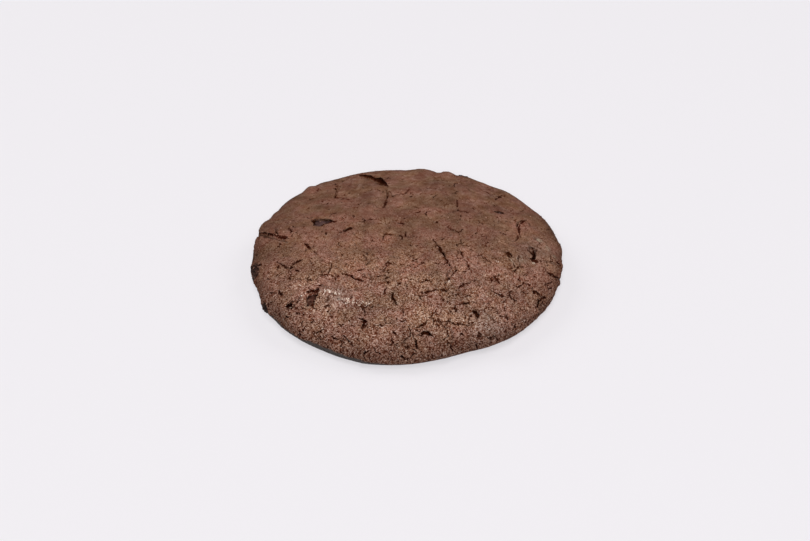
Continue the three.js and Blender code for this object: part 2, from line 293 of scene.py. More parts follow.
class ShaderGraph(Graph):
    """The nodes of one new material, round its Principled shader."""

    def __init__(self, name: str) -> None:
        """Start a material.

        Args:
            name: the material's name.
        """
        self.material = bpy.data.materials.new(name)
        self.material.use_nodes = True
        super().__init__(self.material.node_tree)
        self.shader = self.material.node_tree.nodes["Principled BSDF"]
        self.place = self.add("ShaderNodeTexCoord", {}).outputs["Object"]

    def attribute(self, name: str, output: str = "Fac") -> Socket:
        """Read a number or a vector that is kept on the mesh."""
        return self.add("ShaderNodeAttribute", {}, attribute_name=name).outputs[output]

    def mix(self, share: object, first: object, second: object) -> Socket:
        """Blend two colours.

        Args:
            share: 0 for the first, up to 1 for the second.
            first: a colour.
            second: a colour.

        Returns:
            The blend.
        """
        ends = [(*tone, 1.0) if isinstance(tone, tuple) else tone for tone in (first, second)]
        node = self.add("ShaderNodeMix", {"A": (0, 0, 0, 1)}, data_type="RGBA")
        for socket, value in zip(enabled(node.inputs), (share, *ends)):
            self.put(socket, value)
        return enabled(node.outputs)[0]

    def shade(self, colour: Socket, value: Socket) -> Socket:
        """Make a colour lighter and paler above 1, or darker and redder below it."""
        power = self.math("MULTIPLY_ADD", value, -SHADING, 1.0 + SHADING)
        return self.add("ShaderNodeGamma", {"Color": colour, "Gamma": power}).outputs["Color"]

    def finish(self, colour: Socket, roughness: object, gloss: float, height: object) -> bpy.types.Material:
        """Set the shader's inputs.

        Args:
            colour: the base colour.
            roughness: 0 for a mirror, 1 for chalk.
            gloss: strength of the plain reflection.
            height: fine relief in metres, for the bump.

        Returns:
            The finished material.
        """
        self.put(self.shader.inputs["Base Color"], colour)
        self.put(self.shader.inputs["Roughness"], roughness)
        self.shader.inputs["Specular IOR Level"].default_value = gloss
        bump = self.add("ShaderNodeBump", {"Strength": 1.0, "Distance": 1.0, "Height": height})
        self.put(self.shader.inputs["Normal"], bump.outputs[0])
        return self.material


class GeometryGraph(Graph):
    """The nodes of a geometry modifier, which start from the mesh that it is given."""

    def __init__(self, name: str) -> None:
        """Start a geometry node tree with one mesh in and one out.

        Args:
            name: the tree's name.
        """
        tree = bpy.data.node_groups.new(name, "GeometryNodeTree")
        tree.interface.new_socket("Geometry", in_out="INPUT", socket_type="NodeSocketGeometry")
        tree.interface.new_socket("Geometry", in_out="OUTPUT", socket_type="NodeSocketGeometry")
        super().__init__(tree)
        self.mesh = self.add("NodeGroupInput", {}).outputs[0]
        self.place = self.add("GeometryNodeInputPosition", {}).outputs[0]
        self.normal = self.add("GeometryNodeInputNormal", {}).outputs[0]

    def blur(self, value: Socket, steps: int, kind: str = "FLOAT", weight: object = 1.0) -> Socket:
        """Average a value with its neighbours on the mesh.

        Args:
            value: the field to blur.
            steps: how many times it is averaged.
            kind: FLOAT or FLOAT_VECTOR.
            weight: how much each point takes from its neighbours.

        Returns:
            The blurred field.
        """
        node = self.add("GeometryNodeBlurAttribute", {}, data_type=kind)
        self.put(enabled(node.inputs, "Value")[0], value)
        self.put(node.inputs["Iterations"], steps)
        self.put(node.inputs["Weight"], weight)
        return enabled(node.outputs)[0]

    def move(self, place: Socket) -> None:
        """Put the mesh's points at new places."""
        node = self.add("GeometryNodeSetPosition", {"Geometry": self.mesh, "Position": place})
        self.mesh = node.outputs[0]

    def push_out(self, distance: Socket) -> None:
        """Move the mesh's points out along the skin's normals."""
        self.move(self.vector("ADD", self.place, self.vector("SCALE", self.normal, distance)))

    def store(self, name: str, value: Socket, kind: str = "FLOAT", domain: str = "POINT") -> None:
        """Keep a value on every point or instance, for the material to read.

        Args:
            name: the value's name.
            value: what is kept.
            kind: FLOAT or FLOAT_VECTOR.
            domain: POINT or INSTANCE.
        """
        node = self.add("GeometryNodeStoreNamedAttribute", {}, data_type=kind, domain=domain)
        self.put(node.inputs["Geometry"], self.mesh)
        self.put(node.inputs["Name"], name)
        self.put(enabled(node.inputs, "Value")[0], value)
        self.mesh = node.outputs[0]

    def stored(self, name: str, kind: str = "FLOAT") -> Socket:
        """Read a value that was kept on the mesh.

        Args:
            name: the value's name.
            kind: FLOAT or FLOAT_VECTOR.

        Returns:
            The value at each point.
        """
        node = self.add("GeometryNodeInputNamedAttribute", {}, data_type=kind)
        self.put(node.inputs["Name"], name)
        return enabled(node.outputs)[0]

    def random(self, low: object, high: object, seed: int) -> Socket:
        """Draw a number or a vector for each point or instance.

        Args:
            low: the least, as a number or a vector.
            high: the most, as the same.
            seed: the number that the draw starts from.

        Returns:
            The draw.
        """
        kind = "FLOAT_VECTOR" if isinstance(low, tuple) else "FLOAT"
        node = self.add("FunctionNodeRandomValue", {"Min": low, "Max": high, "Seed": seed}, data_type=kind)
        return enabled(node.outputs)[0]

    def apply_to(self, piece: bpy.types.Object) -> None:
        """Run the tree on a piece as a modifier, and apply it.

        Args:
            piece: the piece whose mesh it changes.
        """
        output = self.add("NodeGroupOutput", {})
        self.put(output.inputs[0], self.mesh)
        modifier = piece.modifiers.new(self.tree.name, "NODES")
        modifier.node_group = self.tree
        apply_modifier(piece, modifier)


def make_active(piece: bpy.types.Object) -> None:
    """Select one piece alone, and make it the active one.

    Args:
        piece: the piece.
    """
    bpy.ops.object.select_all(action="DESELECT")
    piece.select_set(True)
    bpy.context.view_layer.objects.active = piece


def apply_modifier(piece: bpy.types.Object, modifier: bpy.types.Modifier) -> None:
    """Apply one modifier to a piece's mesh."""
    make_active(piece)
    bpy.ops.object.modifier_apply(modifier=modifier.name)


def triangle_count(piece: bpy.types.Object) -> int:
    """Count the triangles that a piece's faces come to."""
    return sum(len(polygon.vertices) - 2 for polygon in piece.data.polygons)


def copy_of_mesh(source: bpy.types.Object, name: str) -> bpy.types.Object:
    """Make a new piece from a copy of another one's mesh.

    Args:
        source: the piece whose mesh is copied.
        name: the new piece's name.

    Returns:
        The new piece, without a material.
    """
    piece = bpy.data.objects.new(name, source.data.copy())
    bpy.context.scene.collection.objects.link(piece)
    piece.data.materials.clear()
    return piece


def merge_loose_triangles(piece: bpy.types.Object) -> None:
    """Merge the corners that lie on the same spot.

    Args:
        piece: the piece whose mesh has loose triangles.
    """
    make_active(piece)
    bpy.ops.object.mode_set(mode="EDIT")
    bpy.ops.mesh.select_all(action="SELECT")
    bpy.ops.mesh.remove_doubles(threshold=SAME_SPOT)
    bpy.ops.object.mode_set(mode="OBJECT")


def remesh_finely(piece: bpy.types.Object, voxel: float) -> None:
    """Rebuild a piece's skin from small even faces.

    Args:
        piece: the piece.
        voxel: the size of a face.
    """
    remesh = piece.modifiers.new("fine skin", "REMESH")
    remesh.mode = "VOXEL"
    remesh.voxel_size = voxel
    apply_modifier(piece, remesh)


def finish_piece(piece: bpy.types.Object, material: bpy.types.Material) -> None:
    """Give a piece its material, and let it ride on the cookie.

    Args:
        piece: the finished piece.
        material: its finish.
    """
    make_active(piece)
    bpy.ops.object.shade_smooth()
    piece.data.materials.clear()
    piece.data.materials.append(material)
    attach(piece, BODY)
    log.info("%s: %d triangles", piece.name, triangle_count(piece))


@dataclass(frozen=True)
class Spot:
    """A soft round spot, with its middle and its reach in millimetres."""

    x: float
    y: float
    z: float
    reach: float
    strength: float = 1.0

    def at(self, graph: Graph, place: Socket) -> Socket:
        """Give the spot's strength at its middle, and less and less of it out to its reach."""
        distance = graph.vector("DISTANCE", place, (self.x * MM, self.y * MM, self.z * MM))
        return graph.product(graph.ramp(distance, self.reach * MM, 0.0), self.strength)


# The crumb's pattern


BACK = 32 * MM
FRONT = -32 * MM


def craggy_share(graph: Graph, place: Socket, least: float, most: float = 1.0) -> Socket:
    """Grow a number from least at the smooth back to most at the craggy front."""
    return graph.ramp(graph.parts(place)[1], BACK, FRONT, least, most)


@dataclass(frozen=True)
class CrackNet:
    """One net of ragged cracks between crumb plates, which breaks off and starts again.

    Its sizes are in millimetres, and share says how much of the skin it runs over.
    """

    plate: float
    half_width: float
    depth: float
    patch: float
    share: float

    def at(self, graph: Graph, place: Socket, blunt: float) -> Socket:
        """Say how far a place lies inside a crack.

        Args:
            graph: the geometry or material nodes.
            place: where it is read.
            blunt: from a crack's edge to its full depth.

        Returns:
            A number from 0 outside to 1 in the middle of a crack.
        """
        bent = graph.warp(graph.warp(place, 2, 1.7), 0.7, 0.7)
        edge = graph.cells(bent, self.plate, "DISTANCE_TO_EDGE").outputs["Distance"]
        patches = graph.noise(place, self.patch).outputs[0]
        here = graph.total(patches, craggy_share(graph, place, -0.075, 0.0))
        half = graph.ramp(here, 0.62 - self.share, 0.74 - self.share, -blunt, self.half_width * MM)
        return graph.ramp(graph.minus(half, graph.product(edge, self.plate * MM)), 0.0, blunt)


@dataclass(frozen=True)
class Pits:
    """Small ragged holes, sized in millimetres, one in that share of the cells of a grid."""

    cell: float
    radius: float
    depth: float
    share: float

    def at(self, graph: Graph, place: Socket, blunt: float) -> Socket:
        """Say how far a place lies inside a pit.

        Args:
            graph: the geometry or material nodes.
            place: where it is read.
            blunt: from a pit's edge to its full depth.

        Returns:
            A number from 0 outside to 1 at the bottom of a pit.
        """
        cell = graph.cells(graph.warp(graph.warp(place, 0.9, 0.9), 0.35, 0.3), self.cell)
        chance = graph.total(graph.parts(cell.outputs["Color"])[0], craggy_share(graph, place, -0.2, 0.0))
        reach = graph.ramp(chance, 1.0 - self.share, 1.0, -blunt, self.radius * MM)
        away = graph.product(cell.outputs["Distance"], self.cell * MM)
        return graph.ramp(graph.minus(reach, away), 0.0, blunt)


# The cracks, creases and holes that stand out in the photograph. Each is a line of points, as X and
# the height along SLANT, in tenths of a millimetre, and half the crack's width there, in hundredths
DRAWN_CRACKS: tuple[Route, ...] = (
    # the slit at the back
    ((-135, 280, 20), (-115, 277, 55), (-94, 270, 85), (-76, 262, 95), (-62, 254, 70), (-53, 246, 25)),
    # cracks at the back
    ((-198, 244, 13), (-200, 228, 21), (-203, 212, 39)),
    ((-203, 212, 20), (-174, 209, 11), (-161, 206, 21)), ((-50, 230, 21), (-43, 224, 21)),
    ((-39, 214, 14), (-17, 218, 8), (-3, 224, 30), (8, 236, 13)), ((-57, 202, 33), (-62, 183, 28)),
    ((60, 241, 14), (71, 243, 15)), ((144, 204, 24), (143, 185, 34)), ((23, 184, 13), (35, 180, 19)),
    ((18, 168, 13), (30, 166, 16), (41, 170, 11)),
    ((144, 172, 11), (159, 170, 14), (169, 169, 23), (174, 167, 11)), ((167, 207, 11), (181, 210, 14)),
    ((325, 172, 15), (332, 174, 19)), ((-257, 234, 24), (-252, 239, 22)),
    # round the pieces of chocolate on the top
    ((-261, 142, 36), (-248, 132, 50), (-234, 133, 53), (-220, 139, 36), (-192, 141, 15)),
    ((-260, -54, 24), (-251, -52, 36), (-240, -52, 36), (-230, -47, 34)),
    ((-234, -58, 30), (-242, -74, 36), (-246, -92, 30)),
    # the crease at the left
    ((-416, 108, 20), (-390, 105, 28), (-370, 102, 45), (-350, 98, 60), (-335, 95, 50), (-322, 93, 15)),
    # cracks at the left
    ((-326, 122, 21), (-316, 109, 28)), ((-180, 109, 12), (-165, 113, 29), (-152, 119, 27)),
    ((-275, 78, 20), (-269, 70, 39), (-263, 65, 19)), ((-252, 55, 16), (-244, 52, 16)),
    ((-305, 20, 23), (-291, 27, 23), (-279, 34, 12)),
    ((-353, 26, 16), (-338, 21, 21), (-323, 12, 24), (-305, 11, 15)),
    ((-416, 10, 27), (-404, 16, 43), (-393, 23, 13)), ((-339, -51, 27), (-333, -56, 34), (-329, -61, 18)),
    # cracks in the middle
    ((-139, 137, 12), (-131, 139, 14), (-114, 141, 11)), ((-59, 105, 16), (-40, 101, 16)),
    ((-1, 109, 23), (-3, 98, 29)), ((-11, 99, 23), (-12, 89, 23)), ((-11, 52, 14), (5, 47, 14)),
    ((20, 39, 15), (28, 34, 22)), ((80, 140, 18), (88, 138, 18)),
    ((113, 124, 13), (123, 118, 23), (134, 114, 23), (145, 109, 13)),
    ((-127, 3, 23), (-119, 7, 34), (-111, 8, 15)),
    ((-163, -6, 18), (-149, -11, 26), (-133, -18, 20), (-115, -24, 31)), ((-227, -37, 19), (-222, -34, 21)),
    ((-185, -12, 23), (-180, -10, 16)), ((-57, -53, 33), (-56, -45, 29), (-51, -41, 13)),
    ((-60, 2, 15), (-39, 6, 15)), ((-229, -7, 14), (-210, -8, 16), (-203, 2, 19), (-200, 24, 18)),
    ((-297, 5, 31), (-289, 2, 33)), ((-20, -31, 23), (-14, -28, 22)),
    # the long bent crack right of the middle, and those beside it
    ((75, 89, 14), (87, 66, 27), (95, 57, 38), (99, 48, 23), (110, 29, 24), (115, 17, 21)),
    ((69, 24, 8), (93, 21, 11), (117, 22, 8)),
    ((134, 5, 26), (128, -3, 16), (117, -11, 14), (108, -22, 19)),
    ((144, 59, 14), (149, 51, 27), (153, 42, 14)), ((163, 74, 18), (169, 70, 16)),
    ((190, 73, 8), (206, 76, 11), (223, 80, 10)), ((163, 24, 14), (167, 14, 23), (166, 5, 18)),
    # the crease and the holes at the right
    ((337, 142, 11), (325, 140, 36), (317, 133, 20), (312, 120, 35), (313, 96, 20)),
    ((273, 53, 31), (280, 45, 49), (288, 40, 21)),
    ((342, 64, 36), (346, 54, 24), (347, 42, 36), (343, 33, 55), (354, 28, 30)),
    ((334, 37, 24), (343, 33, 50)), ((376, 3, 24), (392, -7, 26), (419, -20, 24)),
    ((278, 11, 23), (283, 14, 23)), ((300, -20, 26), (304, -24, 24)),
    ((233, -10, 19), (238, -18, 36), (244, -27, 37)),
    ((338, -55, 37), (348, -52, 31), (358, -71, 46), (352, -83, 23), (347, -93, 20)),
    # the hole and the cracks at the front left
    ((-310, -91.5, 50), (-302, -90.5, 65), (-295, -88, 35)),
    ((-249, -85, 14), (-243, -94, 29), (-236, -97, 19)), ((-270, -95, 12), (-262, -97, 15)),
    ((-315, -117, 20), (-310, -118, 22)), ((-289, -83, 14), (-284, -77, 20), (-281, -70, 12)),
    ((-205, -101, 15), (-199, -109, 17), (-193, -118, 14)),
    ((-121, -120, 24), (-112, -123, 36), (-104, -125, 38), (-113, -142, 34)),
    ((-193, -167, 18), (-186, -172, 22), (-177, -173, 15)),
    ((-160, -166, 15), (-152, -172, 22), (-139, -188, 15)), ((-90, -92, 16), (-78, -91, 15)),
    # cracks at the front
    ((-35, -58, 36), (-35, -67, 35), (-22, -86, 18)),
    ((40, -52, 12), (54, -56, 22), (75, -46, 29), (85, -47, 15)),
    ((90, -46, 18), (96, -47, 29), (104, -53, 16)), ((137, -39, 24), (148, -39, 29)),
    ((43, -25, 13), (59, -22, 20), (65, -24, 14)), ((-14, -127, 15), (-1, -124, 17)),
    ((16, -140, 15), (32, -142, 17), (50, -133, 24), (54, -124, 19)),
    ((108, -126, 22), (126, -133, 18), (154, -136, 18)),
    ((36, -163, 17), (43, -159, 29), (53, -158, 39), (70, -164, 17)), ((25, -181, 35), (26, -195, 42)),
    ((-32, -153, 25), (-29, -159, 25)),
    # the hole and the cracks at the front right
    ((172, -105, 16), (180, -108, 42), (186, -116, 52)), ((142, -86, 12), (153, -82, 14), (166, -82, 10)),
    ((174, -80, 15), (182, -78, 12)), ((127, -89, 24), (128, -96, 37), (130, -103, 22)),
    ((223, -48, 13), (233, -54, 20), (252, -63, 51), (258, -67, 16)), ((278, -152, 19), (285, -145, 28)),
    ((140, -162, 25), (147, -161, 25)), ((244, -111, 24), (246, -115, 24)),
)


@dataclass(frozen=True)
class DrawnCracks:
    """The cracks that stand out in the photograph, each with ragged edges and deepest where wide."""

    depth: float

    def at(self, graph: Graph, place: Socket, blunt: float) -> Socket:
        """Say how far a place lies inside a crack.

        Args:
            graph: the geometry or material nodes.
            place: where it is read.
            blunt: from a crack's edge to its full depth.

        Returns:
            A number from 0 outside to 1, or to 1.6 in the middle of a wide crack.
        """
        bent = graph.warp(graph.warp(place, 1.5, 0.8), 0.5, 0.5)
        uneven = graph.waves(place, 1.1, 0.45 * MM)
        inside = graph.total(graph.product(graph.inside_routes(bent, DRAWN_CRACKS), MM), uneven)
        softness = craggy_share(graph, place, 2.2)
        edge = graph.product(softness, blunt)
        narrow = graph.ramp(inside, graph.product(edge, -0.5), graph.product(edge, 0.8))
        wide = graph.ramp(inside, 0.2 * MM, 0.6 * MM, 0.0, 0.6)
        share = graph.total(graph.product(narrow, craggy_share(graph, place, 0.42)), wide)
        along, height = graph.parts(place)[1:]
        lowest = graph.ramp(along, 0.0, 25 * MM, 1.5 * MM, 8 * MM)
        return graph.product(share, graph.ramp(graph.minus(height, lowest), 0.0, 1.5 * MM))


@dataclass(frozen=True)
class CrumbPattern:
    """Where the crumb is cracked and pitted. The body's relief and its finish both follow it; the finish
    paints shade into its cracks and pits.
    """

    layers: tuple[CrackNet | Pits | DrawnCracks, ...] = (
        CrackNet(plate=2.2, half_width=0.16, depth=0.5, patch=2.2, share=0.09),
        CrackNet(plate=5, half_width=0.2, depth=0.65, patch=4, share=0.125),
        Pits(cell=0.8, radius=0.21, depth=0.55, share=0.4),
        Pits(cell=2.3, radius=0.36, depth=0.6, share=0.3),
        DrawnCracks(depth=0.75),
    )

    def depth(self, graph: Graph, place: Socket, blunt: float) -> Socket:
        """Say how far the skin sinks into cracks and pits, in metres."""
        depths = (graph.product(layer.at(graph, place, blunt), layer.depth * MM) for layer in self.layers)
        return graph.highest(*depths)


PATTERN = CrumbPattern()


# Finishes


@dataclass(frozen=True)
class CrumbFinish:
    """Dry baked cocoa crumb: mottled brown and grainy, with painted shade in its cracks, pits and slit,
    along soft creases, at its back, left side and rim, and a greyer foot that is partly painted shade.

    Heights, depths and the foot's distances are in metres. The size of a patch, a grain, a crease, a
    pebble or a bit of grit is in millimetres. What a grain or a crack adds to the lightness is below
    zero where it is darker. A crease lies where a noise is within crease_band of its middle.
    """

    olive: Colour = (0.246, 0.119, 0.070)
    pink: Colour = (0.260, 0.115, 0.078)
    # The rim colour is partly a baked rim and partly painted shade.
    rim: Colour = (0.160, 0.064, 0.038)
    # The foot colour is partly a baked crust and partly painted shade under the rim.
    foot: Colour = (0.062, 0.055, 0.052)
    roughness: float = 0.92
    gloss: float = 0.03
    patch: float = 5
    rim_top: float = 10.5 * MM
    rim_bottom: float = 3 * MM
    rim_share: float = 0.85
    lightness: float = 1.1
    grain: float = 0.26
    light_grain: float = 0.68
    dark_grain: float = -1.65
    crease: float = 2.4
    crease_band: float = 0.028
    blunt: float = 0.14 * MM
    crack_shade: float = -2.0
    pebble: float = 0.5
    pebble_depth: float = -0.22 * MM
    grit: float = 0.35
    grit_height: float = 0.27 * MM
    # Painted shade: how much darker the back, the left side and the rim are, the rim partly because it is
    # baked darker.
    painted_shade_back: float = 0.7
    painted_shade_left: float = 0.8
    baked_rim_and_painted_shade: float = 0.62
    foot_height: float = 0.8 * MM
    foot_rise: float = 2.3 * MM
    foot_inside: float = 36 * MM
    foot_outside: float = 39.5 * MM
    greyish: Colour = (0.320, 0.196, 0.150)
    greyish_spots: tuple[Spot, ...] = (
        Spot(-19, -27, 11.5, 6.5, 0.75),
        Spot(35.5, -5, 10.5, 8, 0.5),
        Spot(21, -34.5, 8.5, 7, 0.6),
    )
    dusty: Colour = (0.420, 0.320, 0.225)
    dusty_spots: tuple[Spot, ...] = (
        Spot(36.3, 0.3, 10.3, 1.9, 0.8),
        Spot(38.6, -2.6, 9.6, 1.6, 0.6),
        Spot(40.6, -4.5, 8.6, 1.5, 0.6),
        Spot(31, -9.6, 11, 2.2, 0.55),
        Spot(28.6, -10.6, 11.4, 1.5, 0.5),
    )

    def material(self) -> bpy.types.Material:
        """Make the crumb's material.

        Returns:
            The material, which reads the rest places and the hollows kept on the body's mesh.
        """
        graph = ShaderGraph("baked_crumb")
        place = graph.attribute("rest", "Vector")
        front = craggy_share(graph, place, 0.0)
        craggy = graph.math("MULTIPLY_ADD", graph.product(front, front), 0.85, 0.15)
        tone = self.ground(graph, place)
        sunk = PATTERN.depth(graph, place, self.blunt)
        # Painted shade: cracks, pits and the slit are darkened the deeper they lie.
        shadow = graph.product(self.painted_shade_share(graph, sunk), self.crack_shade)
        tone = graph.shade(tone, graph.total(self.grain_value(graph, place, craggy), shadow))
        # Painted shade at the back, the left side and the rim, over wide soft patches.
        tone = graph.vector("SCALE", tone, self.patches_and_painted_shade(graph, place))
        # The dark foot: partly a baked crust, partly painted shade under the rim.
        tone = graph.mix(self.foot_and_painted_shade_share(graph, place), tone, self.foot)

        pebble = graph.cells(graph.warp(place, 0.6, 0.25), self.pebble).outputs["Distance"]
        relief = graph.total(
            graph.product(pebble, craggy, self.pebble_depth),
            graph.waves(place, self.grit, graph.product(craggy, self.grit_height), 3.0),
            graph.product(sunk, -0.4),
        )
        return graph.finish(tone, self.roughness, self.gloss, relief)

    def ground(self, graph: ShaderGraph, place: Socket) -> Socket:
        """Mottle olive brown with pinkish brown, darker and redder at the rim, partly a baked rim and
        partly painted shade, with greyer and paler patches.

        Args:
            graph: the body's material nodes.
            place: where it is read.

        Returns:
            The colour.
        """
        patches = graph.ramp(graph.noise(place, self.patch, 1.0).outputs[0], 0.34, 0.66)
        tone = graph.mix(patches, self.olive, self.pink)
        # Darker and redder low on the rim: partly baked, partly painted shade.
        low = graph.ramp(graph.parts(place)[2], self.rim_top, self.rim_bottom, 0.0, self.rim_share)
        tone = graph.mix(low, tone, self.rim)
        cloud = graph.ramp(graph.noise(place, 1, 3.0, 0.6).outputs[0], 0.35, 0.6, 0.35, 1.0)
        for colour, spots in ((self.greyish, self.greyish_spots), (self.dusty, self.dusty_spots)):
            for spot in spots:
                tone = graph.mix(graph.product(spot.at(graph, place), cloud), tone, colour)
        return tone

    def grain_value(self, graph: ShaderGraph, place: Socket, craggy: Socket) -> Socket:
        """Make every grain a little lighter or darker, most of all at the craggy front.

        Args:
            graph: the body's material nodes.
            place: where it is read.
            craggy: how craggy the crumb is, up to 1.

        Returns:
            The value, which swings about the lightness.
        """
        cell = graph.cells(graph.warp(place, 0.4, 0.2), self.grain)
        chance = graph.parts(cell.outputs["Color"])[0]
        light = graph.ramp(chance, 0.3, 1.0, 0.0, self.light_grain)
        dark = graph.ramp(chance, 0.45, 0.0, 0.0, self.dark_grain)
        fine = graph.waves(place, 0.24, 2.4, 1.0)
        small = graph.product(graph.total(light, dark, fine), craggy)
        middle = graph.waves(place, 1.4, craggy_share(graph, place, 1.1, 0.3))
        soft = graph.waves(place, 3, craggy_share(graph, place, 1.1, 0.1))
        return graph.total(self.lightness, small, middle, soft, self.creases(graph, place))

    def creases(self, graph: ShaderGraph, place: Socket) -> Socket:
        """Lower the value along soft, short, curved creases, as painted shade.

        Args:
            graph: the body's material nodes.
            place: where it is read.

        Returns:
            The change of the value, from below zero up to zero.
        """
        across = graph.minus(graph.noise(place, self.crease).outputs[0], 0.5)
        line = graph.ramp(graph.math("ABSOLUTE", across), self.crease_band, 0.0)
        here = graph.ramp(graph.noise(place, 3.1, 1.0).outputs[0], 0.5, 0.64)
        # Painted shade along the creases, strongest at the smooth back.
        return graph.product(line, here, craggy_share(graph, place, -1.5, -0.9))

    def patches_and_painted_shade(self, graph: ShaderGraph, place: Socket) -> Socket:
        """Make wide soft patches lighter or darker, and add painted shade at the back, the left side and
        the rim, where the baked rim is also darker.

        Args:
            graph: the body's material nodes.
            place: where it is read.

        Returns:
            What the colour is multiplied by.
        """
        across, along, height = graph.parts(place)
        patches = graph.total(1.0, graph.waves(place, 9, 1.15), graph.waves(place, 3.2, 0.8, 3.0))
        # Painted shade at the back and the left side, and at the rim, which is partly a darker baked rim
        # too.
        back = graph.ramp(along, -20 * MM, 14 * MM, 1.0, self.painted_shade_back)
        left = graph.ramp(across, -26 * MM, -42 * MM, 1.0, self.painted_shade_left)
        rim = graph.ramp(height, 9.5 * MM, 3.5 * MM, 1.0, self.baked_rim_and_painted_shade)
        return graph.product(patches, back, left, rim)

    def foot_and_painted_shade_share(self, graph: ShaderGraph, place: Socket) -> Socket:
        """Say where the dark foot is, partly a baked crust and partly painted shade under the rim: a ring,
        higher up the rim at the front left than elsewhere.

        Args:
            graph: the body's material nodes.
            place: where it is read.

        Returns:
            The foot's share, from 0 to 1.
        """
        across, along, height = graph.parts(place)
        # Painted shade: the foot reaches higher up the rim at the front left.
        front_left = graph.product(
            graph.ramp(graph.math("ADD", graph.product(across, 0.5), along), -10 * MM, -34 * MM),
            graph.ramp(across, 2 * MM, -20 * MM, 0.3, 1.0),
        )
        uneven = graph.waves(place, 3, 0.6 * MM)
        line = graph.total(self.foot_height, graph.product(front_left, self.foot_rise), uneven)
        low = graph.ramp(graph.minus(line, height), -0.3 * MM, 0.3 * MM)
        from_middle = graph.vector("LENGTH", graph.vector("MULTIPLY", place, LEVEL))
        ring = graph.ramp(graph.math("ADD", from_middle, uneven), self.foot_inside, self.foot_outside)
        return graph.product(low, ring)

    def painted_shade_share(self, graph: ShaderGraph, sunk: Socket) -> Socket:
        """Say how much painted shade a place gets for lying deep in a crack, a pit or a slit.

        Args:
            graph: the body's material nodes.
            sunk: how far the pattern sinks the skin there, in metres.

        Returns:
            A number from 0, and mostly up to 1.
        """
        # Painted shade in cracks, pits and the slit, from the pattern's depth and from the hollows measured
        # on the mesh.
        drawn = graph.total(
            graph.ramp(sunk, 0.05 * MM, 0.52 * MM), graph.ramp(sunk, 0.7 * MM, 1.1 * MM, 0.0, 0.6)
        )
        narrow = graph.ramp(graph.attribute("hollow"), 0.14, 0.5, 0.0, 0.9)
        wide = graph.ramp(graph.attribute("gorge"), 0.4, 0.95)
        return graph.highest(drawn, narrow, wide)


@dataclass(frozen=True)
class GrainFinish:
    """Loose grains of crumb, each a little lighter or darker than its neighbours."""

    name: str
    dark: Colour
    light: Colour
    roughness: float = 0.7

    def material(self) -> bpy.types.Material:
        """Make the grains' material.

        Returns:
            The material, which reads the tone kept on each grain.
        """
        graph = ShaderGraph(self.name)
        tone = graph.mix(graph.attribute("tone"), self.dark, self.light)
        return graph.finish(tone, self.roughness, 0.1, graph.waves(graph.place, 0.25, 0.1 * MM))


CRUMB_GRAIN = GrainFinish("crumb_grain", (0.080, 0.030, 0.016), (0.330, 0.185, 0.130), 0.9)
NUT_SKIN = GrainFinish("nut_skin", (0.190, 0.125, 0.090), (0.520, 0.390, 0.300))
PALE_SPECK = GrainFinish("pale_speck", (0.55, 0.38, 0.29), (0.92, 0.78, 0.68))


@dataclass(frozen=True)
class ChocolateFinish:
    """Dark chocolate, broken: near black or brown, with a faint bloom and crumbs baked onto it.

    Its crumbs lie where a noise is above crumb_line less the share, and fade in over crumb_edge.
    """

    name: str = "broken_chocolate"
    dark: Colour = (0.010, 0.004, 0.003)
    bloom: Colour = (0.062, 0.030, 0.022)
    crumb: Colour = (0.170, 0.085, 0.060)
    crumb_share: float = 0.12
    crumb_line: float = 0.66
    crumb_edge: float = 0.06
    roughness: float = 0.6
    gloss: float = 0.1

    def material(self) -> bpy.types.Material:
        """Make the chocolate's material.

        Returns:
            The material, which reads Object coordinates.
        """
        graph = ShaderGraph(self.name)
        cloud = graph.ramp(graph.noise(graph.place, 1, 4.0, 0.6).outputs[0], 0.4, 0.62)
        tone = graph.mix(cloud, self.dark, self.bloom)
        line = self.crumb_line - self.crumb_share
        crumbs = graph.ramp(graph.noise(graph.place, 0.9, 3.0).outputs[0], line, line + self.crumb_edge)
        tone = graph.mix(crumbs, tone, self.crumb)
        height = graph.waves(graph.place, 0.6, 0.5 * MM, 3.0)
        return graph.finish(tone, self.roughness, self.gloss, height)


BROKEN = ChocolateFinish()
BLACK = (0.006, 0.002, 0.001)
CHOCOLATE_FINISHES: dict[str, ChocolateFinish] = {
    "chocolate_front_left_rim": ChocolateFinish(
        "black_chocolate", BLACK, (0.022, 0.010, 0.006), crumb_share=0.05
    ),
    "chocolate_left_rim": ChocolateFinish(
        "cracked_chocolate", BLACK, (0.060, 0.026, 0.018), crumb_share=0.1
    ),
    "chocolate_back_left": ChocolateFinish(
        "purplish_chocolate", (0.026, 0.010, 0.008), (0.086, 0.044, 0.041), crumb_share=0.06
    ),
    "chocolate_front_left": ChocolateFinish(
        "reddish_chocolate", (0.040, 0.012, 0.007), (0.115, 0.045, 0.031), crumb_share=0.06, roughness=0.8
    ),
    "chocolate_right": ChocolateFinish(
        "dusty_chocolate", (0.060, 0.030, 0.024), (0.120, 0.066, 0.062), roughness=0.8
    ),
}


# The cookie's pieces


# Where the skin bulges out, or is drawn in: the middle, the reach and the rise, in millimetres
SWELLS = tuple(
    Spot(x, y, z, reach, rise * MM)
    for x, y, z, reach, rise in (
        # the ledge at the left, above and below the end of its crease
        (-40.7, 13, 6.5, 4.5, 0.7), (-38.3, 18.3, 7, 3.6, 0.65), (-42, 8.5, 6, 3.4, -1.4),
        (-43, 2, 5, 7, -0.5),
        # the lumps along the back
        (-27.5, 27.6, 8.5, 3.2, 1.15), (-9, 35, 10, 8, -0.3), (4.5, 35, 10, 6.5, 0.9),
        (12, 34, 10, 4.4, 1.4), (29, 28, 8.5, 6, 0.35), (-24, 31, 8.5, 4.5, 0.45),
        # the front and the front left
        (-11.5, -41.5, 2.5, 3.5, -0.9), (-38, -22, 5, 5, 0.5),
        # the right side
        (43, 3.5, 6, 5.5, 0.8), (42, -13.5, 5.5, 6, 0.35),
    )
)


# Where the long slit and the crease at the left are torn open
TORN = (
    Spot(-9.5, 29.5, 10, 9),
    Spot(-37, 10, 7, 8),
)


